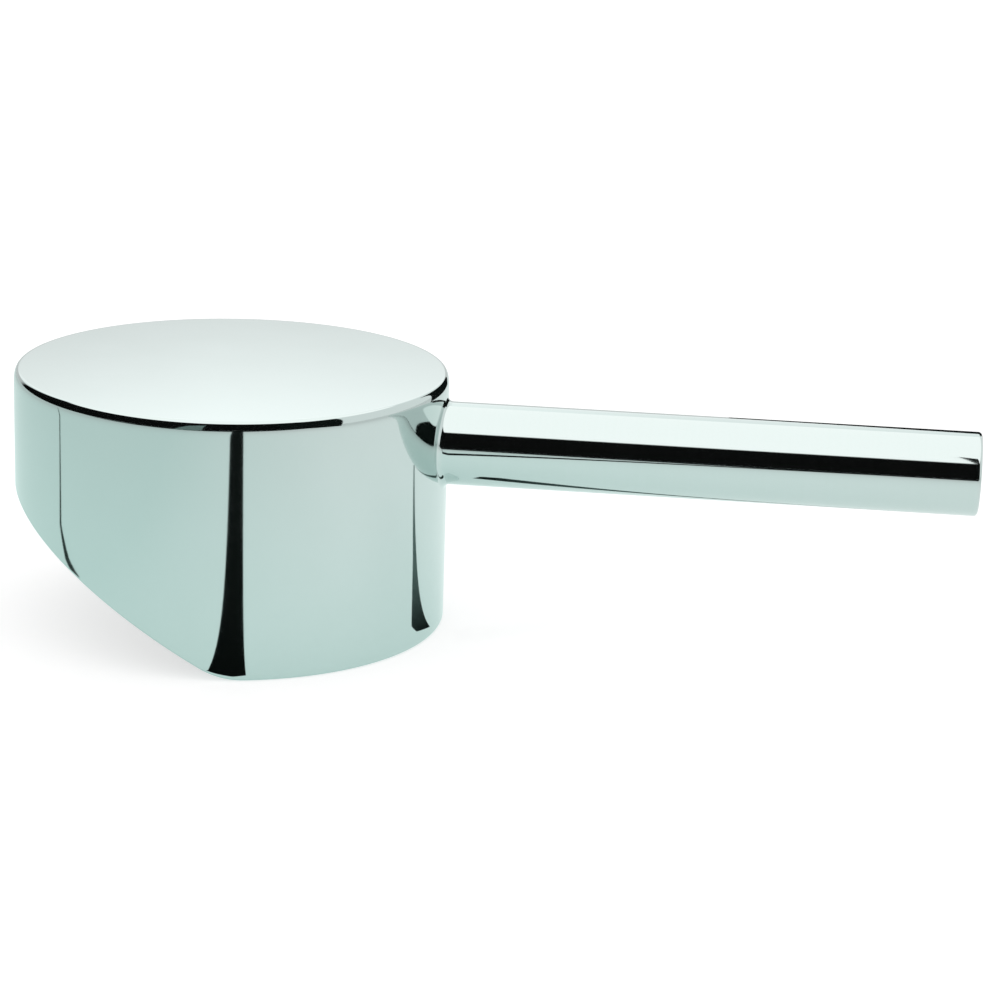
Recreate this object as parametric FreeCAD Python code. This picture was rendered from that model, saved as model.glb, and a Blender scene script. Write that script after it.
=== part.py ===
# Single-lever tap handle: a polished round cap with a plain round lever rod screwed into its side.
# Millimetres. The origin is the centre of the stem socket's mouth, +Z is up and the lever points along +X.
import FreeCAD, Part
import math
import os

from FreeCAD import Vector

# Cap, one zinc die casting
BODY_DIAMETER = 47.0
BODY_HEIGHT = 27.8
WALL = 2.6
ROOF = 2.6
RIM_ROUND = 0.8  # round between the wall and the flat top
BASE_ROUND = 0.5  # round along the wall's lower edge
CAVITY_ROUND = 1.5  # round between the inside of the wall and the roof

# Slanted relief under the side opposite the lever, which lets the handle tilt up
RELIEF_ANGLE = 30.0  # slope against the base, degrees
RELIEF_START = 3.2  # where the slope would meet the base, from the cap's axis towards the lever
RELIEF_BLEND = 9.0  # radius between the base and the slope

# Square socket for the cartridge stem, in a boss under the roof
STEM_ACROSS = 8.0
STEM_CLEARANCE = 0.1
SOCKET_DEPTH = 12.0
SOCKET_COVER = 2.9  # metal between the socket's floor and the flat top
SOCKET_LEAD_IN = 0.5
STEM_BOSS_WALL = 2.7  # metal outside the socket's corners

# Ribs between the stem boss and the wall
RIB_ANGLES = (90.0, 180.0, 270.0)
RIB_THICKNESS = 2.4
RIB_DEPTH = 7.0

# Lever rod, turned from bar
LEVER_DIAMETER = 9.0
LEVER_PROJECTION = 57.3  # how far it stands out of the wall
LEVER_COVER = 2.6  # from the lever's upper side to the flat top
LEVER_EDGE_ROUND = 0.4
LEVER_SEAT_DEPTH = 3.5  # how deep its shoulder sits below the outside of the wall
LEVER_CLEARANCE = 0.05
LEVER_BOSS_WALL = 2.0
SEAT_EDGE_ROUND = 0.3  # round at the mouth of the lever's hole

# Thread shared by the lever's spigot and the grub screw, drawn as plain cylinders
THREAD_DIAMETER = 6.0
THREAD_CLEARANCE = 0.05
THREAD_CHAMFER = 0.6
SPIGOT_GAP = 2.0  # free length of bore between the spigot and the grub screw

# Hexagon-socket grub screw that clamps the stem
GRUB_LENGTH = 6.0
GRUB_SETBACK = 0.3  # how far its tip stands back from the stem socket
HEX_KEY = 3.0
HEX_DEPTH = 2.6
CUP_DIAMETER = 3.0
CUP_DEPTH = 0.8

# Worked out from the sizes above
BODY_RADIUS = BODY_DIAMETER / 2
CAVITY_RADIUS = BODY_RADIUS - WALL
SOCKET_TOP = SOCKET_DEPTH  # the socket's mouth is at zero
TOP = SOCKET_TOP + SOCKET_COVER
BASE = TOP - BODY_HEIGHT
CAVITY_TOP = TOP - ROOF
LEVER_RADIUS = LEVER_DIAMETER / 2
LEVER_HOLE_RADIUS = LEVER_RADIUS + LEVER_CLEARANCE
LEVER_BOSS_RADIUS = LEVER_HOLE_RADIUS + LEVER_BOSS_WALL
LEVER_Z = TOP - LEVER_COVER - LEVER_RADIUS
LEVER_SEAT_X = BODY_RADIUS - LEVER_SEAT_DEPTH
LEVER_END_X = BODY_RADIUS + LEVER_PROJECTION
THREAD_RADIUS = THREAD_DIAMETER / 2
BORE_RADIUS = THREAD_RADIUS + THREAD_CLEARANCE
SOCKET_ACROSS = STEM_ACROSS + 2 * STEM_CLEARANCE
STEM_BOSS_RADIUS = SOCKET_ACROSS / math.sqrt(2) + STEM_BOSS_WALL
GRUB_TIP_X = SOCKET_ACROSS / 2 + GRUB_SETBACK
GRUB_HEAD_X = GRUB_TIP_X + GRUB_LENGTH
SPIGOT_TIP_X = GRUB_HEAD_X + SPIGOT_GAP

UP = Vector(0, 0, 1)
ALONG_LEVER = Vector(1, 0, 0)
ON_SURFACE = 1e-3  # distance within which a point counts as lying on a surface


def line(start, end):
    return Part.LineSegment(start, end).toShape()


def arc(start, through, end):
    return Part.Arc(start, through, end).toShape()


def quarter(centre, start, end):
    """Quarter circle from start to end about centre."""
    bisector = (start - centre) + (end - centre)
    bisector.normalize()
    return arc(start, centre + bisector * (start - centre).Length, end)


def outline(points):
    """Straight edges through the points, in order."""
    return [line(a, b) for a, b in zip(points, points[1:])]


def revolved(edges, base, axis):
    return Part.Face(Part.Wire(edges)).revolve(base, axis, 360)


def drum(radius, top, edge_round):
    """Upright drum on the cap's axis, from the base up, with its top edge rounded."""
    centre = Vector(radius - edge_round, 0, top - edge_round)
    flat_end = Vector(centre.x, 0, top)
    side_end = Vector(radius, 0, centre.z)
    edges = [quarter(centre, flat_end, side_end)]
    edges += outline([side_end, Vector(radius, 0, BASE), Vector(0, 0, BASE), Vector(0, 0, top), flat_end])
    return revolved(edges, Vector(0, 0, 0), UP)


def lever_cylinder(radius, start_x, end_x):
    """Cylinder on the lever's axis."""
    return Part.makeCylinder(radius, end_x - start_x, Vector(start_x, 0, LEVER_Z), ALONG_LEVER)


def square_prism(across, low, high):
    """Upright square bar on the cap's axis."""
    return Part.makeBox(across, across, high - low, Vector(-across / 2, -across / 2, low))


def square_ring(across, height):
    """Level square wire about the cap's axis."""
    half = across / 2
    corners = [(-half, -half), (half, -half), (half, half), (-half, half), (-half, -half)]
    return Part.makePolygon([Vector(x, y, height) for x, y in corners])


def outer_form():
    """The cap's outside, as if it were solid."""
    return drum(BODY_RADIUS, TOP, RIM_ROUND)


def cavity():
    """The hollow that the cartridge stands in."""
    return drum(CAVITY_RADIUS, CAVITY_TOP, CAVITY_ROUND)


def relief():
    """What the slanted relief takes away: everything below the base, its blend and the slope."""
    angle = math.radians(RELIEF_ANGLE)
    tangent = RELIEF_BLEND * math.tan(angle / 2)
    reach = BODY_DIAMETER
    half = angle / 2
    centre = Vector(RELIEF_START + tangent, -reach, BASE + RELIEF_BLEND)
    on_base = centre + Vector(0, 0, -RELIEF_BLEND)
    middle = centre + Vector(-math.sin(half), 0, -math.cos(half)) * RELIEF_BLEND
    on_slope = centre + Vector(-math.sin(angle), 0, -math.cos(angle)) * RELIEF_BLEND
    far = Vector(-reach, -reach, BASE + (RELIEF_START + reach) * math.tan(angle))
    below = BASE - reach
    corners = [Vector(-reach, -reach, below), Vector(on_base.x, -reach, below)]
    edges = [arc(on_base, middle, on_slope)] + outline([on_slope, far] + corners + [on_base])
    return Part.Face(Part.Wire(edges)).extrude(Vector(0, 2 * reach, 0))


def stem_boss():
    return Part.makeCylinder(STEM_BOSS_RADIUS, TOP)


def lever_boss():
    return lever_cylinder(LEVER_BOSS_RADIUS, 0, BODY_RADIUS)


def ribs():
    """Upright webs from the stem boss to the wall."""
    webs = []
    for angle in RIB_ANGLES:
        web = Part.makeBox(BODY_RADIUS, RIB_THICKNESS, RIB_DEPTH + ROOF)
        web.translate(Vector(0, -RIB_THICKNESS / 2, CAVITY_TOP - RIB_DEPTH))
        web.rotate(Vector(0, 0, 0), UP, angle)
        webs.append(web)
    return webs


def stem_socket():
    """Square hole for the stem, with a sloped lead-in round its mouth."""
    hole = square_prism(SOCKET_ACROSS, 0, SOCKET_TOP)
    wide = square_ring(SOCKET_ACROSS + 4 * SOCKET_LEAD_IN, -SOCKET_LEAD_IN)
    narrow = square_ring(SOCKET_ACROSS, SOCKET_LEAD_IN)
    return hole.fuse(Part.makeLoft([wide, narrow], True))


def lever_hole():
    """Seat for the rod and, further in, the tapped bore that opens into the stem socket."""
    seat = lever_cylinder(LEVER_HOLE_RADIUS, LEVER_SEAT_X, BODY_DIAMETER)
    bore = lever_cylinder(BORE_RADIUS, 0, BODY_DIAMETER)
    return seat.fuse(bore)


def samples(edge):
    return edge.discretize(9)


def on_wall(point):
    return abs(math.hypot(point.x, point.y) - BODY_RADIUS) < ON_SURFACE


def on_lever_hole(point):
    return abs(math.hypot(point.y, point.z - LEVER_Z) - LEVER_HOLE_RADIUS) < ON_SURFACE


def hole_mouth_edges(shape):
    """Edges where the lever's hole breaks through the outside of the wall."""
    return [e for e in shape.Edges if all(on_wall(p) and on_lever_hole(p) for p in samples(e))]


def base_edges(shape):
    """Edges along the bottom of the wall's outside: the base, the blend and the slope."""
    found = []
    for edge in shape.Edges:
        points = samples(edge)
        below_rim = max(p.z for p in points) < TOP - RIM_ROUND - ON_SURFACE
        upright = (points[0] - points[-1]).cross(UP).Length < ON_SURFACE and not edge.isClosed()
        if below_rim and not upright and all(on_wall(p) and not on_lever_hole(p) for p in points):
            found.append(edge)
    return found


def handle_body():
    hollow = cavity()
    for standing in [stem_boss(), lever_boss()] + ribs():
        hollow = hollow.cut(standing)
    body = outer_form().cut(hollow).cut(relief()).cut(stem_socket()).cut(lever_hole())
    body = body.makeFillet(BASE_ROUND, base_edges(body))
    body = body.makeFillet(SEAT_EDGE_ROUND, hole_mouth_edges(body))
    return body.removeSplitter()


def lever_rod():
    """Rod with a shoulder and a chamfered spigot at one end and a lightly rounded edge at the other."""

    def at(x, radius):
        return Vector(x, 0, LEVER_Z + radius)

    centre = at(LEVER_END_X - LEVER_EDGE_ROUND, LEVER_RADIUS - LEVER_EDGE_ROUND)
    round_start = at(centre.x, LEVER_RADIUS)
    round_end = at(LEVER_END_X, LEVER_RADIUS - LEVER_EDGE_ROUND)
    spigot = [at(SPIGOT_TIP_X, 0), at(SPIGOT_TIP_X, THREAD_RADIUS - THREAD_CHAMFER),
              at(SPIGOT_TIP_X + THREAD_CHAMFER, THREAD_RADIUS), at(LEVER_SEAT_X, THREAD_RADIUS)]
    edges = outline(spigot + [at(LEVER_SEAT_X, LEVER_RADIUS), round_start])
    edges += [quarter(centre, round_start, round_end)]
    edges += outline([round_end, at(LEVER_END_X, 0), spigot[0]])
    return revolved(edges, Vector(0, 0, LEVER_Z), ALONG_LEVER)


def grub_screw():
    """Set screw with a cup point towards the stem and a hexagon socket towards the lever."""
    profile = [(GRUB_TIP_X + CUP_DEPTH, 0), (GRUB_TIP_X, CUP_DIAMETER / 2),
               (GRUB_TIP_X, THREAD_RADIUS - THREAD_CHAMFER), (GRUB_TIP_X + THREAD_CHAMFER, THREAD_RADIUS),
               (GRUB_HEAD_X - THREAD_CHAMFER, THREAD_RADIUS), (GRUB_HEAD_X, THREAD_RADIUS - THREAD_CHAMFER),
               (GRUB_HEAD_X, 0), (GRUB_TIP_X + CUP_DEPTH, 0)]
    blank = revolved(outline([Vector(x, 0, LEVER_Z + radius) for x, radius in profile]),
                     Vector(0, 0, LEVER_Z), ALONG_LEVER)
    corner = HEX_KEY / math.sqrt(3)
    hexagon = []
    for step in range(7):
        angle = math.radians(60 * step)
        hexagon.append(Vector(GRUB_HEAD_X, corner * math.cos(angle), LEVER_Z + corner * math.sin(angle)))
    key_hole = Part.Face(Part.makePolygon(hexagon)).extrude(ALONG_LEVER * -HEX_DEPTH)
    return blank.cut(key_hole)


PIECES = {"handle_body": handle_body, "lever_rod": lever_rod, "grub_screw": grub_screw}

os.makedirs("parts", exist_ok=True)
for name, make in PIECES.items():
    shape = make()
    solid = shape.Solids[0]
    print(name, "solids", len(shape.Solids), "valid", shape.isValid(), "volume", round(solid.Volume, 1))
    solid.exportStep(os.path.join("parts", name + ".step"))
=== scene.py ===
# Chromed single-lever tap handle: a buffed round cap, a turned lever rod screwed into its side,
# and the grub screw that clamps the cap to its stem.
# Sizes are in millimetres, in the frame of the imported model.
import math

import bmesh
import bpy
from mathutils import Matrix, Vector


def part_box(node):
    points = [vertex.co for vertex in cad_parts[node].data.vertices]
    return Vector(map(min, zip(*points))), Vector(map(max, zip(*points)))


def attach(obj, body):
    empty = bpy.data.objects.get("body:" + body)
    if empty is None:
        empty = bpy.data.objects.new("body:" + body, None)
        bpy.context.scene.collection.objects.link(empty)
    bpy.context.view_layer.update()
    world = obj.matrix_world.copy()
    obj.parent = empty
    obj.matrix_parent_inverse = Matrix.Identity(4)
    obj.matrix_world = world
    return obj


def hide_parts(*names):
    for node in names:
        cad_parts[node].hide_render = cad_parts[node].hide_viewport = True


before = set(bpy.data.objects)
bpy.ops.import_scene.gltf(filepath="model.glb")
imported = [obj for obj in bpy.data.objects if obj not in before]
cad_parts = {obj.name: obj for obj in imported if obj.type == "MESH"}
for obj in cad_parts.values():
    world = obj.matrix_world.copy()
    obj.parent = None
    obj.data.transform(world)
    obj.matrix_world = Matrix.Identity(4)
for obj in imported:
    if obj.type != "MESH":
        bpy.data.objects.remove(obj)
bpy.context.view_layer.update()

MM = 0.001

# Places and outer sizes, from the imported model
cap_low, cap_high = (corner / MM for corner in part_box("handle_body"))
lever_low, lever_high = (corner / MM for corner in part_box("lever_rod"))
screw_low, screw_high = (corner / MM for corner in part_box("grub_screw"))
CAP_RADIUS = cap_high.x
TOP = cap_high.z
BASE = cap_low.z
LEVER_TIP = lever_low.x
LEVER_END = lever_high.x
SCREW_TIP = screw_low.x
SCREW_HEAD = screw_high.x

# Cap, a hollow zinc casting
WALL = 2.6
ROOF = 2.6
RIM_IN = 0.5  # the buffed rim is a quarter of an oval, this far in over the top
RIM_DOWN = 1.2  # and this far down the wall
ROLL_TILT = math.radians(5.5)  # below the rim the mop rolled the wall inwards, by this much at most
ROLL_END = 2.0  # how far below the top that ends
BASE_ROUND = 0.5  # round along the lower edges of the wall and the stem boss
INNER_EDGE = 0.15  # bevel along the lower edge of the hollow
CAVITY_ROUND = 1.5
RELIEF_ANGLE = math.radians(30)
RELIEF_START = 3.2  # from the axis to the line where the relief's slope would meet the base
RELIEF_BLEND = 9.0  # radius of the round that stands there instead
STEM_BOSS_RADIUS = 8.5
BOSS_FOOT = 1.0  # hollow round where the stem boss or a rib meets the roof
RIB_ANGLES = (90, 180, 270)
RIB_THICKNESS = 2.4
RIB_DEPTH = 7.0
SOCKET_ACROSS = 8.2
SOCKET_DEPTH = 12.0
SOCKET_LEAD_IN = 0.5

# Lever, its hole and the thread that it shares with the grub screw
LEVER_RADIUS = 4.5
LEVER_CLEARANCE = 0.05
LEVER_BOSS_WALL = 2.0
LEVER_SEAT_DEPTH = 3.5
LEVER_EDGE_ROUND = 0.4
LEVER_FLARE = 0.6  # hollow round by which the lever's root runs out onto the wall
MOUTH_ROUND = 0.3  # round at the mouth of the lever's hole
MOUTH_LAST = math.radians(80)  # it stops a little short of lying level with the wall
THREAD_RADIUS = 3.0
THREAD_PITCH = 1.0
THREAD_DEPTH = 0.61
THREAD_FLAT = 0.1  # share of the pitch that is flat at the crest, and again at the root
THREAD_CHAMFER = 0.6
THREAD_GROOVE = 1.2
BORE_CLEARANCE = 0.05
HEX_KEY = 3.0
HEX_DEPTH = 2.6
HEX_DRILL_POINT = HEX_KEY / 4  # depth of the cone that the drill leaves under the hexagon
CUP_RADIUS = 1.5
CUP_DEPTH = 0.8

LEVER_Z = lever_high.z - LEVER_RADIUS
LEVER_SEAT = CAP_RADIUS - LEVER_SEAT_DEPTH
CAVITY_RADIUS = CAP_RADIUS - WALL
CAVITY_TOP = TOP - ROOF
# Place on the rim's oval where the wall begins
RIM_LAST = math.atan(math.tan(ROLL_TILT) * RIM_DOWN / RIM_IN)
WALL_TOP = TOP - RIM_DOWN * (1 - math.sin(RIM_LAST))
ROLL_START = TOP - ROLL_END
# Ribs and bosses are drawn into what they join: the stem boss, the wall and the roof
BOSS_START = STEM_BOSS_RADIUS / 2
BOSS_END = CAP_RADIUS - WALL / 2
BOSS_TOP = CAVITY_TOP + ROOF / 2

# How finely the round forms are divided
CAP_SEGMENTS = 256
LEVER_SEGMENTS = 128
BOSS_SEGMENTS = 96
SCREW_SEGMENTS = 96
RIM_STEPS = 24
ROLL_STEPS = 8
BASE_ROUND_STEPS = 6
CAVITY_ROUND_STEPS = 8
BOSS_EDGE_STEPS = 3
BOSS_FOOT_STEPS = 5
RIB_EDGE_STEPS = 6
MOUTH_STEPS = 8
FLARE_STEPS = 10
LEVER_END_STEPS = 12
THREAD_STEPS = 10  # to one turn of the thread
GUARD = 0.15  # narrow ring beside a round, which keeps the flat or straight face next to it true
WALL_TOLERANCE = 0.003  # the middle of a wall facet lies less than this inside the round wall
SHARP_EDGE = math.radians(32)  # faces that meet at more than this keep a sharp edge


def ring(radius, height):
    """A level circle of a turned skin."""
    return lambda angle: (radius, height)


def oval(radius, height, across, along, start, end, steps):
    """Rings along an arc of an oval about (radius, height), from one angle to another, in degrees."""
    rings = []
    for step in range(steps + 1):
        turn = math.radians(start + (end - start) * step / steps)
        rings.append(ring(radius + across * math.cos(turn), height + along * math.sin(turn)))
    return rings


def turned(rows, segments, half_step=False):
    """Closed skin about the Z axis, started half a step round where asked.

    A row gives the radius and height at an angle. The first and last rows are points on the axis.
    """
    skin = bmesh.new()
    turn = math.pi / segments if half_step else 0.0
    angles = [turn + 2 * math.pi * i / segments for i in range(segments)]

    def corner(row, angle):
        radius, height = row(angle)
        return skin.verts.new((radius * math.cos(angle), radius * math.sin(angle), height))

    first = corner(rows[0], 0)
    rings = [[corner(row, angle) for angle in angles] for row in rows[1:-1]]
    last = corner(rows[-1], 0)
    for i in range(segments):
        j = (i + 1) % segments
        skin.faces.new((first, rings[0][i], rings[0][j]))
        for near, far in zip(rings, rings[1:]):
            skin.faces.new((near[i], far[i], far[j], near[j]))
        skin.faces.new((last, rings[-1][j], rings[-1][i]))
    bmesh.ops.recalc_face_normals(skin, faces=skin.faces)
    return skin


def piece_from(skin, name, *materials):
    """Object made of a skin, with its materials."""
    mesh = bpy.data.meshes.new(name)
    skin.to_mesh(mesh)
    skin.free()
    for material in materials:
        mesh.materials.append(material)
    piece = bpy.data.objects.new(name, mesh)
    bpy.context.scene.collection.objects.link(piece)
    return piece


def along_lever(piece):
    """Lays a piece that was turned about Z on the lever's axis."""
    piece.data.transform(Matrix.Translation((0, 0, LEVER_Z)) @ Matrix.Rotation(math.pi / 2, 4, "Y"))
    return piece


def combine(piece, tool, operation):
    """Joins the tool's solid to the piece or cuts it out, and removes the tool."""
    step = piece.modifiers.new(operation, "BOOLEAN")
    step.operation = operation
    step.object = tool
    step.solver = "EXACT"
    step.material_mode = "TRANSFER"
    result = piece.evaluated_get(bpy.context.evaluated_depsgraph_get())
    mesh = bpy.data.meshes.new_from_object(result)
    piece.modifiers.clear()
    piece.data = mesh
    bpy.data.objects.remove(tool)


def smooth(piece):
    """Shades rounds and walls as curved, and keeps the corners sharp."""
    piece.data.shade_smooth()
    piece.data.set_sharp_from_angle(angle=SHARP_EDGE)
    return piece


def seated(piece, node):
    """Brings a finished piece to metres and lets it stand for its node."""
    piece.data.transform(Matrix.Scale(MM, 4))
    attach(piece, "root")
    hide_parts(node)


def foot(radius, angle):
    """Height of the cap's lower side: the flat base, the blend and the slanted relief."""
    x = radius * math.cos(angle)
    tangent = RELIEF_BLEND * math.tan(RELIEF_ANGLE / 2)
    blend_start = RELIEF_START + tangent
    slope_start = blend_start - RELIEF_BLEND * math.sin(RELIEF_ANGLE)
    if x > blend_start:
        return BASE
    if x > slope_start:
        return BASE + RELIEF_BLEND - math.sqrt(RELIEF_BLEND ** 2 - (blend_start - x) ** 2)
    return BASE + (RELIEF_START - x) * math.tan(RELIEF_ANGLE)


def base_round(share, guard=0.0):
    """Row on the round between the wall and the lower side; share is 0 at the wall, 1 underneath."""

    def row(angle):
        low = foot(CAP_RADIUS, angle)
        slope = (low - foot(CAP_RADIUS - BASE_ROUND, angle)) / BASE_ROUND
        opening = math.pi / 2 + math.atan(slope)
        rise = BASE_ROUND / math.tan(opening / 2)
        turn = -share * (math.pi - opening)
        radius = CAP_RADIUS - BASE_ROUND + BASE_ROUND * math.cos(turn)
        return radius, low + rise + BASE_ROUND * math.sin(turn) + guard

    return row


def underside(radius, lift=0.0):
    """Row on the cap's lower side, or a little above it."""
    return lambda angle: (radius, foot(radius, angle) + lift)


def wall_at(height):
    """Radius and inward tilt of the buffed wall at a height; the tilt grows by the cube of the way up."""
    length = WALL_TOP - ROLL_START
    share = min(max((height - ROLL_START) / length, 0), 1)
    return CAP_RADIUS - ROLL_TILT * length * share ** 4 / 4, ROLL_TILT * share ** 3


def cap_shell(outside, inside):
    """The hollow cap without its bosses: outside from the top's centre down, then inside back up."""
    rim = wall_at(WALL_TOP)[0] - RIM_IN * math.cos(RIM_LAST)
    rim_last = math.degrees(RIM_LAST)
    rows = [ring(0, TOP), ring(rim / 3, TOP), ring(rim * 2 / 3, TOP), ring(rim - GUARD, TOP)]
    rows += oval(rim, TOP - RIM_DOWN, RIM_IN, RIM_DOWN, 90, rim_last, RIM_STEPS)
    for step in range(1, ROLL_STEPS + 1):
        height = WALL_TOP + (ROLL_START - WALL_TOP) * step / ROLL_STEPS
        rows.append(ring(wall_at(height)[0], height))
    rows.append(base_round(0, GUARD))
    rows += [base_round(step / BASE_ROUND_STEPS) for step in range(BASE_ROUND_STEPS + 1)]
    polished = len(rows) - 1
    rows += [underside(CAP_RADIUS - WALL / 2), underside(CAVITY_RADIUS + INNER_EDGE)]
    rows.append(underside(CAVITY_RADIUS, INNER_EDGE))
    corner_radius = CAVITY_RADIUS - CAVITY_ROUND
    corner_height = CAVITY_TOP - CAVITY_ROUND
    rows += oval(corner_radius, corner_height, CAVITY_ROUND, CAVITY_ROUND, 0, 90, CAVITY_ROUND_STEPS)
    rows += [ring(CAVITY_RADIUS / 2, CAVITY_TOP), ring(0, CAVITY_TOP)]
    # Half a step round, so that no rib or hole meets the shell just at an edge between two faces
    skin = turned(rows, CAP_SEGMENTS, half_step=True)
    bands = len(rows) - 1
    for index, face in enumerate(skin.faces):
        face.material_index = 0 if index % bands < polished else 1
    return piece_from(skin, "cap", outside, inside)


def stem_boss(inside):
    """Round boss for the stem's socket, with a rounded lower edge and a flared foot at the roof."""
    edge = STEM_BOSS_RADIUS - BASE_ROUND
    flare = STEM_BOSS_RADIUS + BOSS_FOOT
    rows = [ring(0, 0), ring(edge, 0)]
    rows += oval(edge, BASE_ROUND, BASE_ROUND, BASE_ROUND, -45, 0, BOSS_EDGE_STEPS)
    rows += oval(flare, CAVITY_TOP - BOSS_FOOT, BOSS_FOOT, BOSS_FOOT, 180, 90, BOSS_FOOT_STEPS)
    rows += [ring(flare, BOSS_TOP), ring(0, BOSS_TOP)]
    # Half a step round, so that no rib or hole meets the boss just at an edge between two faces
    return piece_from(turned(rows, BOSS_SEGMENTS, half_step=True), "stem_boss", inside)


def lever_boss(inside):
    """Round boss between the stem boss and the wall, for the lever's thread and seat."""
    radius = LEVER_RADIUS + LEVER_CLEARANCE + LEVER_BOSS_WALL
    rows = [ring(0, BOSS_START), ring(radius, BOSS_START), ring(radius, BOSS_END), ring(0, BOSS_END)]
    return along_lever(piece_from(turned(rows, BOSS_SEGMENTS), "lever_boss", inside))


def rib(angle, inside):
    """Upright web from the stem boss into the wall, with a round lower edge and a flared foot."""
    half = RIB_THICKNESS / 2
    low = CAVITY_TOP - RIB_DEPTH
    side = []
    for step in range(RIB_EDGE_STEPS + 1):
        turn = math.pi / 2 * step / RIB_EDGE_STEPS
        side.append((half * math.sin(turn), low + half - half * math.cos(turn)))
    for step in range(BOSS_FOOT_STEPS + 1):
        turn = math.pi / 2 * step / BOSS_FOOT_STEPS
        across = half + BOSS_FOOT - BOSS_FOOT * math.cos(turn)
        side.append((across, CAVITY_TOP - BOSS_FOOT + BOSS_FOOT * math.sin(turn)))
    side.append((half + BOSS_FOOT, BOSS_TOP))
    outline = side + [(-y, z) for y, z in reversed(side) if y > 0]
    skin = bmesh.new()
    ends = []
    for x in (BOSS_START, BOSS_END):
        ends.append([skin.verts.new((x, y, z)) for y, z in outline])
    skin.faces.new(ends[0])
    skin.faces.new(reversed(ends[1]))
    for i in range(len(outline)):
        j = (i + 1) % len(outline)
        skin.faces.new((ends[0][i], ends[1][i], ends[1][j], ends[0][j]))
    bmesh.ops.recalc_face_normals(skin, faces=skin.faces)
    skin.transform(Matrix.Rotation(math.radians(angle), 4, "Z"))
    return piece_from(skin, "rib", inside)


def stem_socket(inside):
    """Square hole for the stem, with a sloped lead-in round its mouth."""
    half_diagonal = SOCKET_ACROSS / math.sqrt(2)
    lead_in = SOCKET_LEAD_IN * math.sqrt(2)
    rows = [ring(0, -SOCKET_LEAD_IN), ring(half_diagonal + 2 * lead_in, -SOCKET_LEAD_IN)]
    rows += [ring(half_diagonal, SOCKET_LEAD_IN), ring(half_diagonal, SOCKET_DEPTH)]
    rows.append(ring(0, SOCKET_DEPTH))
    # Four sides, half a step round, so that they face along the lever and across it
    return piece_from(turned(rows, 4, half_step=True), "stem_socket", inside)


def to_wall(radius, angle):
    """Place along the lever's axis where a circle round it meets the wall."""
    return math.sqrt(CAP_RADIUS ** 2 - (radius * math.sin(angle)) ** 2)


def lever_hole(inside):
    """Bore for the thread, seat and rounded mouth. The mouth follows the wall all round the hole."""
    bore = THREAD_RADIUS + BORE_CLEARANCE
    seat = LEVER_RADIUS + LEVER_CLEARANCE

    def mouth(turn, beyond=0.0):
        radius = seat + MOUTH_ROUND * (1 - math.cos(turn)) + beyond * math.sin(turn)

        def row(angle):
            inner = to_wall(radius, angle) - MOUTH_ROUND * (1 - math.sin(turn))
            return radius, inner + beyond * math.cos(turn)

        return row

    rows = [ring(0, 0), ring(bore, 0), ring(bore, LEVER_SEAT), ring(seat, LEVER_SEAT)]
    rows += [mouth(MOUTH_LAST * step / MOUTH_STEPS) for step in range(MOUTH_STEPS + 1)]
    rows += [mouth(MOUTH_LAST, MOUTH_ROUND), ring(0, CAP_RADIUS + LEVER_RADIUS)]
    return along_lever(piece_from(turned(rows, LEVER_SEGMENTS), "lever_hole", inside))


def true_wall(mesh):
    """Gives the wall's corners the true wall's direction, also where the lever's hole cuts a face."""
    normals = []
    for face in mesh.polygons:
        corners = [mesh.vertices[index].co for index in face.vertices]
        offsets = [corner.xy.length - wall_at(corner.z)[0] for corner in corners]
        on_wall = all(abs(offset) < WALL_TOLERANCE for offset in offsets)
        for corner in corners:
            rise = math.tan(wall_at(corner.z)[1]) * corner.xy.length
            outwards = Vector((corner.x, corner.y, rise)).normalized()
            # A zero vector leaves a corner as it is
            normals.append(outwards if on_wall else Vector((0, 0, 0)))
    mesh.normals_split_custom_set(normals)


def make_cap(outside, inside):
    """Shell with bosses and ribs, then the stem's socket and the lever's hole cut into them."""
    cap = cap_shell(outside, inside)
    combine(cap, stem_boss(inside), "UNION")
    combine(cap, lever_boss(inside), "UNION")
    for angle in RIB_ANGLES:
        combine(cap, rib(angle, inside), "UNION")
    combine(cap, stem_socket(inside), "DIFFERENCE")
    combine(cap, lever_hole(inside), "DIFFERENCE")
    smooth(cap)
    true_wall(cap.data)
    return cap


def thread(start, end, bevelled_end):
    """Rows of a helical thread along the lever's axis, bevelled at its start and maybe at its end."""

    def row(place):
        bevel = place - start
        if bevelled_end:
            bevel = min(bevel, end - place)
        limit = THREAD_RADIUS - THREAD_CHAMFER + min(bevel, THREAD_CHAMFER)

        def at(angle):
            phase = (place / THREAD_PITCH - angle / (2 * math.pi)) % 1.0
            from_crest = abs(phase - 0.5) - THREAD_FLAT / 2
            depth = min(max(from_crest / (0.5 - THREAD_FLAT), 0.0), 1.0)
            return min(THREAD_RADIUS - THREAD_DEPTH * depth, limit), place

        return at

    steps = round((end - start) / THREAD_PITCH * THREAD_STEPS)
    return [row(start + (end - start) * step / steps) for step in range(steps + 1)]


def lever_flare(turn):
    """Row on the lever's flared root; turn goes from 0 at the wall to a right angle on the rod."""
    radius = LEVER_RADIUS + LEVER_FLARE * (1 - math.sin(turn))
    return lambda angle: (radius, to_wall(radius, angle) + LEVER_FLARE * (1 - math.cos(turn)))


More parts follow.
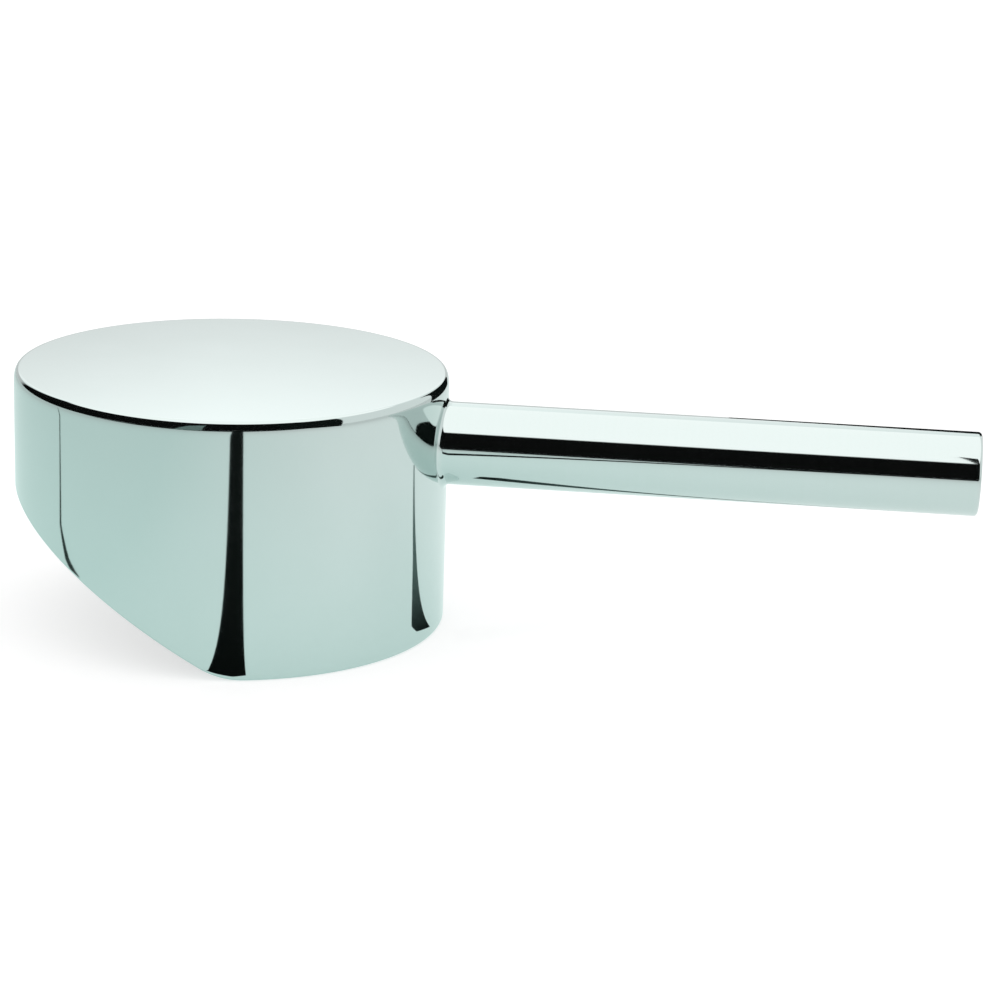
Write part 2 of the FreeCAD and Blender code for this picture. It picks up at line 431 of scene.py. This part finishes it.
def make_lever(plate):
    """Rod with a threaded spigot, a run-out groove, a shoulder, a flared root and a rounded end."""
    groove = THREAD_RADIUS - THREAD_DEPTH
    thread_end = LEVER_SEAT - THREAD_GROOVE
    edge = LEVER_RADIUS - LEVER_EDGE_ROUND
    edge_start = LEVER_END - LEVER_EDGE_ROUND
    rows = [ring(0, LEVER_TIP)]
    rows += thread(LEVER_TIP, thread_end, False)
    rows += [ring(groove, thread_end + GUARD), ring(groove, LEVER_SEAT)]
    rows += [ring(LEVER_RADIUS - GUARD, LEVER_SEAT), ring(LEVER_RADIUS, LEVER_SEAT + GUARD)]
    rows.append(lambda angle: (LEVER_RADIUS, to_wall(LEVER_RADIUS, angle) - GUARD))
    rows += [lever_flare(math.pi / 2 * step / FLARE_STEPS) for step in range(FLARE_STEPS + 1)]
    rows.append(ring(LEVER_RADIUS, CAP_RADIUS + LEVER_FLARE + GUARD))
    rows.append(ring(LEVER_RADIUS, edge_start - GUARD))
    rows += oval(edge, edge_start, LEVER_EDGE_ROUND, LEVER_EDGE_ROUND, 0, 90, LEVER_END_STEPS)
    rows += [ring(edge - GUARD, LEVER_END), ring(0, LEVER_END)]
    return smooth(along_lever(piece_from(turned(rows, LEVER_SEGMENTS), "lever", plate)))


def make_grub_screw(steel):
    """Set screw with a cup point towards the stem and a hexagon socket towards the lever."""
    socket_floor = SCREW_HEAD - HEX_DEPTH

    def hexagon(place):
        def at(angle):
            from_flat = (angle + math.pi / 6) % (math.pi / 3) - math.pi / 6
            return HEX_KEY / 2 / math.cos(from_flat), place

        return at

    rows = [ring(0, SCREW_TIP + CUP_DEPTH), ring(CUP_RADIUS, SCREW_TIP)]
    rows += thread(SCREW_TIP, SCREW_HEAD, True)
    rows += [hexagon(SCREW_HEAD), hexagon(socket_floor), ring(0, socket_floor - HEX_DRILL_POINT)]
    return smooth(along_lever(piece_from(turned(rows, SCREW_SEGMENTS), "grub_screw_m6", steel)))


def linear(hex_colour):
    """Linear colour of an sRGB hex value."""
    channels = [int(hex_colour[i:i + 2], 16) / 255 for i in (1, 3, 5)]
    return [c / 12.92 if c <= 0.04045 else ((c + 0.055) / 1.055) ** 2.4 for c in channels] + [1.0]


def add(tree, kind, inputs=None, **settings):
    """Adds a node with its settings; inputs holds a value or a feeding socket for each input named."""
    node = tree.nodes.new(kind)
    for name, value in settings.items():
        setattr(node, name, value)
    for socket, value in (inputs or {}).items():
        if isinstance(value, bpy.types.NodeSocket):
            tree.links.new(value, node.inputs[socket])
        else:
            node.inputs[socket].default_value = value
    return node


def new_material(name):
    """An empty material with its tree, its surface shader and its place on the object."""
    material = bpy.data.materials.new(name)
    material.use_nodes = True
    tree = material.node_tree
    tree.nodes.clear()
    shader = add(tree, "ShaderNodeBsdfPrincipled")
    add(tree, "ShaderNodeOutputMaterial", {"Surface": shader.outputs[0]})
    place = add(tree, "ShaderNodeTexCoord").outputs["Object"]
    return material, tree, shader, place


# Marks of the finishes
HAZE_PATCH = 7.0  # breadth of the patches that the mop left a little duller
MOP_WAVE = 9.0  # length of the waves that it left in the zinc
MOP_WAVE_HEIGHT = 0.002
TURNING_RING = 0.4  # the tool's rings are finer, and are drawn as coarse as they need to show
TURNING_RUN = 12.0  # how far a ring keeps its tone round the bar
TURNING_RING_HEIGHT = 0.00004
FLOW_MARK = 4.0  # breadth of the marks that the zinc left as it filled the die
CAST_GRAIN = 0.25  # the casting's grain is finer, and is drawn as coarse as it needs to show
CAST_GRAIN_HEIGHT = 0.05
ROLLING_MARK = 0.3  # the die's marks are finer, and are drawn as coarse as they need to show
ROLLING_MARK_HEIGHT = 0.01


def buffed_chromium_on_zinc():
    """Bright chromium on a mop-buffed zinc casting: a cool mirror, faintly hazy, with shallow waves."""
    material, tree, shader, place = new_material("buffed_chromium_on_zinc")
    shader.inputs["Metallic"].default_value = 1.0
    haze = add(tree, "ShaderNodeTexNoise", {
        "Vector": place, "Scale": 1 / (HAZE_PATCH * MM), "Detail": 4.0})
    tone = add(tree, "ShaderNodeMix", {
        "Factor": haze.outputs[0], "A": linear("#C6D4D1"), "B": linear("#CAD7D5")}, data_type="RGBA")
    tree.links.new(tone.outputs["Result"], shader.inputs["Base Color"])
    polish = add(tree, "ShaderNodeMapRange", {
        "Value": haze.outputs[0], "To Min": 0.03, "To Max": 0.07})
    tree.links.new(polish.outputs[0], shader.inputs["Roughness"])
    waves = add(tree, "ShaderNodeTexNoise", {
        "Vector": place, "Scale": 1 / (MOP_WAVE * MM), "Detail": 0.0})
    bump = add(tree, "ShaderNodeBump", {
        "Height": waves.outputs[0], "Strength": 1.0, "Distance": MOP_WAVE_HEIGHT * MM})
    tree.links.new(bump.outputs[0], shader.inputs["Normal"])
    return material


def buffed_chromium_on_brass():
    """Bright chromium on a turned brass bar: a mirror with the tool's traces as faint rings round it."""
    material, tree, shader, place = new_material("buffed_chromium_on_brass")
    shader.inputs["Metallic"].default_value = 1.0
    ring_spacing = (1 / (TURNING_RING * MM), 1 / (TURNING_RUN * MM), 1 / (TURNING_RUN * MM))
    across = add(tree, "ShaderNodeVectorMath", {0: place, 1: ring_spacing}, operation="MULTIPLY")
    rings = add(tree, "ShaderNodeTexNoise", {
        "Vector": across.outputs[0], "Scale": 1.0, "Detail": 3.0})
    tone = add(tree, "ShaderNodeMix", {
        "Factor": rings.outputs[0], "A": linear("#C7D5D2"), "B": linear("#C9D6D4")}, data_type="RGBA")
    tree.links.new(tone.outputs["Result"], shader.inputs["Base Color"])
    polish = add(tree, "ShaderNodeMapRange", {
        "Value": rings.outputs[0], "To Min": 0.03, "To Max": 0.07})
    tree.links.new(polish.outputs[0], shader.inputs["Roughness"])
    bump = add(tree, "ShaderNodeBump", {
        "Height": rings.outputs[0], "Strength": 1.0, "Distance": TURNING_RING_HEIGHT * MM})
    tree.links.new(bump.outputs[0], shader.inputs["Normal"])
    return material


def plated_cast_zinc():
    """Zinc as it left the die, thinly plated: a dull grey satin skin with fine grain and flow marks."""
    material, tree, shader, place = new_material("plated_cast_zinc")
    shader.inputs["Metallic"].default_value = 1.0
    flow = add(tree, "ShaderNodeTexNoise", {
        "Vector": place, "Scale": 1 / (FLOW_MARK * MM), "Detail": 5.0, "Distortion": 1.5})
    tone = add(tree, "ShaderNodeMix", {
        "Factor": flow.outputs[0], "A": linear("#8F9896"), "B": linear("#B4BBB9")}, data_type="RGBA")
    tree.links.new(tone.outputs["Result"], shader.inputs["Base Color"])
    dullness = add(tree, "ShaderNodeMapRange", {
        "Value": flow.outputs[0], "To Min": 0.34, "To Max": 0.52})
    tree.links.new(dullness.outputs[0], shader.inputs["Roughness"])
    grain = add(tree, "ShaderNodeTexNoise", {
        "Vector": place, "Scale": 1 / (CAST_GRAIN * MM), "Detail": 3.0})
    bump = add(tree, "ShaderNodeBump", {
        "Height": grain.outputs[0], "Strength": 0.6, "Distance": CAST_GRAIN_HEIGHT * MM})
    tree.links.new(bump.outputs[0], shader.inputs["Normal"])
    return material


def rolled_stainless_steel():
    """Stainless screw with a rolled thread: a darker grey with a soft, finely mottled shine."""
    material, tree, shader, place = new_material("rolled_stainless_steel")
    shader.inputs["Metallic"].default_value = 1.0
    marks = add(tree, "ShaderNodeTexNoise", {
        "Vector": place, "Scale": 1 / (ROLLING_MARK * MM), "Detail": 4.0})
    tone = add(tree, "ShaderNodeMix", {
        "Factor": marks.outputs[0], "A": linear("#7C7B78"), "B": linear("#A09F9B")}, data_type="RGBA")
    tree.links.new(tone.outputs["Result"], shader.inputs["Base Color"])
    shine = add(tree, "ShaderNodeMapRange", {
        "Value": marks.outputs[0], "To Min": 0.22, "To Max": 0.42})
    tree.links.new(shine.outputs[0], shader.inputs["Roughness"])
    bump = add(tree, "ShaderNodeBump", {
        "Height": marks.outputs[0], "Strength": 0.4, "Distance": ROLLING_MARK_HEIGHT * MM})
    tree.links.new(bump.outputs[0], shader.inputs["Normal"])
    return material


# Studio that the chrome mirrors. Directions are seen from the handle: azimuth in degrees from the
# lever's direction, turning towards +Y, and elevation in degrees above the horizon.
ROOM_TONES = [
    (-180, 0.004), (-40, 0.004), (-37, 0.98), (60, 0.98), (80, 0.86), (92, 0.86),
    (101, 1.0), (110, 0.88), (136, 0.8), (142, 0.004), (180, 0.004)]  # by azimuth
BACKDROP_TONES = [(0, 0.8), (11.5, 0.8), (13, 0.97), (15, 1.36), (90, 1.36)]  # by elevation
BACKDROP_START = 60.0  # azimuth from which the backdrop's tones set in
BACKDROP_FULL = 80.0  # and from which they are there in full
BACKDROP_LEVEL = 100.0  # azimuth at which they have just the elevations given
BACKDROP_LEAN = 0.06  # they start this much higher for each degree from there towards the rear
SOFTBOX_EDGE = 42.4  # elevation at which the white softbox overhead starts
SOFTBOX_BLUR = 1.5  # its edge is soft by this much to either side
SOFTBOX_LIGHT = (1.47, 1.41, 1.41, 1)  # levels of red, green and blue light


def tones_along(tree, angle, tones):
    """Brightness along an angle, from a list of degrees and values."""
    start = tones[0][0]
    end = tones[-1][0]
    share = add(tree, "ShaderNodeMapRange", {"Value": angle, "From Min": start, "From Max": end})
    ramp = add(tree, "ShaderNodeValToRGB", {"Fac": share.outputs[0]})
    stops = ramp.color_ramp.elements
    while len(stops) < len(tones):
        stops.new(1.0)
    for stop, (place, tone) in zip(stops, tones):
        stop.position = (place - start) / (end - start)
        stop.color = (tone, tone, tone, 1)
    return ramp.outputs["Color"]


def studio(scene):
    """White all round for the eye; for the chrome a lit backdrop, a dark front and a softbox overhead."""
    world = bpy.data.worlds.new("studio")
    scene.world = world
    world.use_nodes = True
    tree = world.node_tree
    tree.nodes.clear()
    direction = add(tree, "ShaderNodeTexCoord").outputs["Generated"]
    towards = add(tree, "ShaderNodeSeparateXYZ", {0: direction}).outputs
    turn = add(tree, "ShaderNodeMath", {0: towards[1], 1: towards[0]}, operation="ARCTAN2").outputs[0]
    azimuth = add(tree, "ShaderNodeMath", {0: turn}, operation="DEGREES").outputs[0]
    rise = add(tree, "ShaderNodeMath", {0: towards[2]}, operation="ARCSINE").outputs[0]
    elevation = add(tree, "ShaderNodeMath", {0: rise}, operation="DEGREES").outputs[0]

    lean = add(tree, "ShaderNodeMath", {
        0: azimuth, 1: -BACKDROP_LEAN, 2: BACKDROP_LEVEL * BACKDROP_LEAN}, operation="MULTIPLY_ADD")
    height = add(tree, "ShaderNodeMath", {0: elevation, 1: lean.outputs[0]}, operation="ADD")
    on_backdrop = add(tree, "ShaderNodeMapRange", {
        "Value": azimuth, "From Min": BACKDROP_START, "From Max": BACKDROP_FULL})
    room_tone = tones_along(tree, azimuth, ROOM_TONES)
    backdrop_tone = tones_along(tree, height.outputs[0], BACKDROP_TONES)
    room = add(tree, "ShaderNodeMix", {
        "Factor": on_backdrop.outputs[0], "A": room_tone, "B": backdrop_tone},
        data_type="RGBA", blend_type="MULTIPLY", clamp_result=False)
    in_softbox = add(tree, "ShaderNodeMapRange", {
        "Value": elevation,
        "From Min": SOFTBOX_EDGE - SOFTBOX_BLUR, "From Max": SOFTBOX_EDGE + SOFTBOX_BLUR},
        interpolation_type="SMOOTHSTEP")
    mirrored = add(tree, "ShaderNodeMix", {
        "Factor": in_softbox.outputs[0], "A": room.outputs["Result"], "B": SOFTBOX_LIGHT},
        data_type="RGBA")
    seen = add(tree, "ShaderNodeBackground", {"Color": linear("#FFFFFF"), "Strength": 1.0})
    in_chrome = add(tree, "ShaderNodeBackground", {"Color": mirrored.outputs["Result"], "Strength": 1.0})
    glossy = add(tree, "ShaderNodeLightPath").outputs["Is Glossy Ray"]
    either = add(tree, "ShaderNodeMixShader", {0: glossy, 1: seen.outputs[0], 2: in_chrome.outputs[0]})
    add(tree, "ShaderNodeOutputWorld", {"Surface": either.outputs[0]})


# Paper under the handle
PAPER_HALF = 1500  # half of its side
PAPER_FIBRE = 1.5  # the length of a fibre; its breadth is too fine to show
PAPER_GLOW = 0.62  # light of its own, which keeps it white to the eye
# In the chrome its glow is a painted reflection: a painted pool of light, brightest close to the handle
# and dimmer far off, and a painted tint, cooler and darker towards the handle's rear
PAINTED_POOL_NEAR = 20.0
PAINTED_POOL_NEAR_LIGHT = 1.24
PAINTED_POOL_FAR = 230.0
PAINTED_POOL_FAR_LIGHT = 0.44
PAINTED_DIM_SIDE = -40.0
PAINTED_BRIGHT_SIDE = 120.0

# Cards that lie on the paper and that only the chrome sees: corners across the paper
CARD_LIFT = 0.02  # how far above the paper they lie
CARD_GRAIN = 2.0  # a card's grain is finer, and is drawn as coarse as it needs to show
CARD_GRAIN_REACH = 3.0  # how far it frays the change of tone along a card
FRONT_CARD = [
    (1.6, -24.5), (6.6, -24.5), (42, -146), (87, -300), (900, -300), (900, -1400),
    (-900, -1400), (-900, -300), (57, -300)]
SIDE_CARD = [
    (25.9, -5.2), (28.0, -5.1), (49.0, 9.0), (90.0, 33.6), (90.0, 34.8), (48.0, 11.4), (25.0, -2.0)]
REAR_CARD = [
    (-300, -15.0), (-62, -17.0), (-48, -20.6), (-40, -25.0), (-40, -27.0), (-48, -22.8),
    (-62, -18.4), (-300, -16.6)]
# Flags that stand up beside the handle and that only the chrome sees: two black ones and a grey one
FRONT_FLAG = [(85, -46, 5), (150, -220, 10), (150, -220, 212), (82, -38, 70)]
BACK_FLAG = [(124, 106, BASE), (51, 143, BASE), (51, 143, 34), (124, 106, 92)]
GREY_FLAG = [(-5, -100, 8), (-28, -100, 8), (-16, -100, 38), (-2.5, -100, 50)]


def white_paper():
    """Matte white paper: bright all over, with a pale soft shadow where the handle keeps light away. In
    the chrome its glow is a painted reflection, with a painted pool of light round the handle and a
    painted cooler, darker tint towards its rear.
    """
    material, tree, shader, place = new_material("white_paper")
    shader.inputs["Roughness"].default_value = 0.9
    fibres = add(tree, "ShaderNodeTexNoise", {
        "Vector": place, "Scale": 1 / (PAPER_FIBRE * MM), "Detail": 3.0})
    tone = add(tree, "ShaderNodeMix", {
        "Factor": fibres.outputs[0], "A": linear("#B8B8B8"), "B": linear("#BCBCBC")}, data_type="RGBA")
    tree.links.new(tone.outputs["Result"], shader.inputs["Base Color"])
    # Painted pool of light, seen only in the chrome: the glow is painted brighter near the handle and
    # dimmer far from it
    away = add(tree, "ShaderNodeVectorMath", {0: place}, operation="LENGTH").outputs["Value"]
    painted_pool_of_light = add(tree, "ShaderNodeMapRange", {
        "Value": away, "From Min": PAINTED_POOL_NEAR * MM, "From Max": PAINTED_POOL_FAR * MM,
        "To Min": PAINTED_POOL_NEAR_LIGHT, "To Max": PAINTED_POOL_FAR_LIGHT})
    # Painted reflection tint, seen only in the chrome: cooler and darker towards the handle's rear
    across = add(tree, "ShaderNodeSeparateXYZ", {0: place}).outputs[0]
    share = add(tree, "ShaderNodeMapRange", {
        "Value": across, "From Min": PAINTED_DIM_SIDE * MM, "From Max": PAINTED_BRIGHT_SIDE * MM})
    painted_side_tint = add(tree, "ShaderNodeMix", {
        "Factor": share.outputs[0], "A": linear("#A9D0CA"), "B": linear("#F2F6F5")}, data_type="RGBA")
    mirrored = add(tree, "ShaderNodeMix", {
        "Factor": 1.0, "A": painted_side_tint.outputs["Result"], "B": painted_pool_of_light.outputs[0]},
        data_type="RGBA", blend_type="MULTIPLY")
    # The eye sees a plain white glow; the chrome sees the painted reflection tone
    glossy = add(tree, "ShaderNodeLightPath").outputs["Is Glossy Ray"]
    glow_and_painted_reflection = add(tree, "ShaderNodeMix", {
        "Factor": glossy, "A": linear("#FFFFFF"), "B": mirrored.outputs["Result"]}, data_type="RGBA")
    tree.links.new(glow_and_painted_reflection.outputs["Result"], shader.inputs["Emission Color"])
    shader.inputs["Emission Strength"].default_value = PAPER_GLOW
    return material


def matte_card(name, near, far, fade_start, fade_end):
    """Matte card with a faint grain; its tone changes from the end beside the handle to the far end."""
    material, tree, shader, place = new_material(name)
    shader.inputs["Roughness"].default_value = 0.95
    shader.inputs["Specular IOR Level"].default_value = 0.0
    grain = add(tree, "ShaderNodeTexNoise", {
        "Vector": place, "Scale": 1 / (CARD_GRAIN * MM), "Detail": 2.0})
    away = add(tree, "ShaderNodeVectorMath", {0: place}, operation="LENGTH").outputs["Value"]
    grained = add(tree, "ShaderNodeMath", {
        0: grain.outputs[0], 1: CARD_GRAIN_REACH * MM, 2: away}, operation="MULTIPLY_ADD")
    share = add(tree, "ShaderNodeMapRange", {
        "Value": grained.outputs[0], "From Min": fade_start * MM, "From Max": fade_end * MM})
    tone = add(tree, "ShaderNodeMix", {
        "Factor": share.outputs[0], "A": linear(near), "B": linear(far)}, data_type="RGBA")
    tree.links.new(tone.outputs["Result"], shader.inputs["Base Color"])
    return material


def set_sheet(name, corners, material):
    """Flat sheet of the set."""
    skin = bmesh.new()
    skin.faces.new([skin.verts.new(Vector(corner) * MM) for corner in corners])
    sheet = piece_from(skin, name, material)
    return sheet


def set_card(name, corners, material):
    """Sheet that only the chrome sees."""
    card = set_sheet(name, corners, material)
    card.visible_camera = False
    card.visible_diffuse = False
    card.visible_shadow = False


def lay_table():
    """The paper that the handle stands on, and the cards and flags that show in the chrome."""
    quarters = ((-1, -1), (1, -1), (1, 1), (-1, 1))
    set_sheet("paper", [(PAPER_HALF * x, PAPER_HALF * y, BASE) for x, y in quarters], white_paper())
    black = matte_card("matte_black_card", "#0A0D0C", "#101413", 20, 60)
    side_grey = matte_card("matte_grey_side_card", "#101816", "#637471", 29, 48)
    rear_grey = matte_card("matte_grey_rear_card", "#1A2422", "#56635F", 46, 110)
    flag_grey = matte_card("matte_grey_flag", "#6C7C78", "#738380", 100, 110)
    cards = (
        ("front_card", FRONT_CARD, black),
        ("side_card", SIDE_CARD, side_grey),
        ("rear_card", REAR_CARD, rear_grey))
    for name, corners, material in cards:
        set_card(name, [(x, y, BASE + CARD_LIFT) for x, y in corners], material)
    set_card("front_flag", FRONT_FLAG, black)
    set_card("back_flag", BACK_FLAG, black)
    set_card("grey_flag", GREY_FLAG, flag_grey)


# Camera, fitted to the edges of the cap and the lever
AIM = Vector((29.54, 0.27, 1.6))
VIEW_AZIMUTH = math.radians(-84.35)
VIEW_ELEVATION = math.radians(16.37)
VIEW_ROLL = math.radians(1.91)
VIEW_DISTANCE = 326.6
LENS = 108.0
SENSOR = 36.0
CLIP_START = 10.0


def place_camera(scene):
    """Camera that looks at the handle from the side, a little from above."""
    camera = bpy.data.objects.new("camera", bpy.data.cameras.new("camera"))
    scene.collection.objects.link(camera)
    camera.data.sensor_width = SENSOR
    camera.data.lens = LENS
    camera.data.clip_start = CLIP_START * MM
    back = Vector((
        math.cos(VIEW_ELEVATION) * math.cos(VIEW_AZIMUTH),
        math.cos(VIEW_ELEVATION) * math.sin(VIEW_AZIMUTH),
        math.sin(VIEW_ELEVATION)))
    level = Vector((0, 0, 1)).cross(back).normalized()
    right = Matrix.Rotation(VIEW_ROLL, 3, back) @ level
    turn = Matrix((right, back.cross(right), back)).transposed()
    camera.matrix_world = Matrix.Translation((AIM + back * VIEW_DISTANCE) * MM) @ turn.to_4x4()
    scene.camera = camera


scene = bpy.context.scene
scene.view_settings.view_transform = "Standard"

cap = make_cap(buffed_chromium_on_zinc(), plated_cast_zinc())
seated(cap, "handle_body")
lever = make_lever(buffed_chromium_on_brass())
seated(lever, "lever_rod")
grub_screw = make_grub_screw(rolled_stainless_steel())
seated(grub_screw, "grub_screw")

studio(scene)
lay_table()
place_camera(scene)
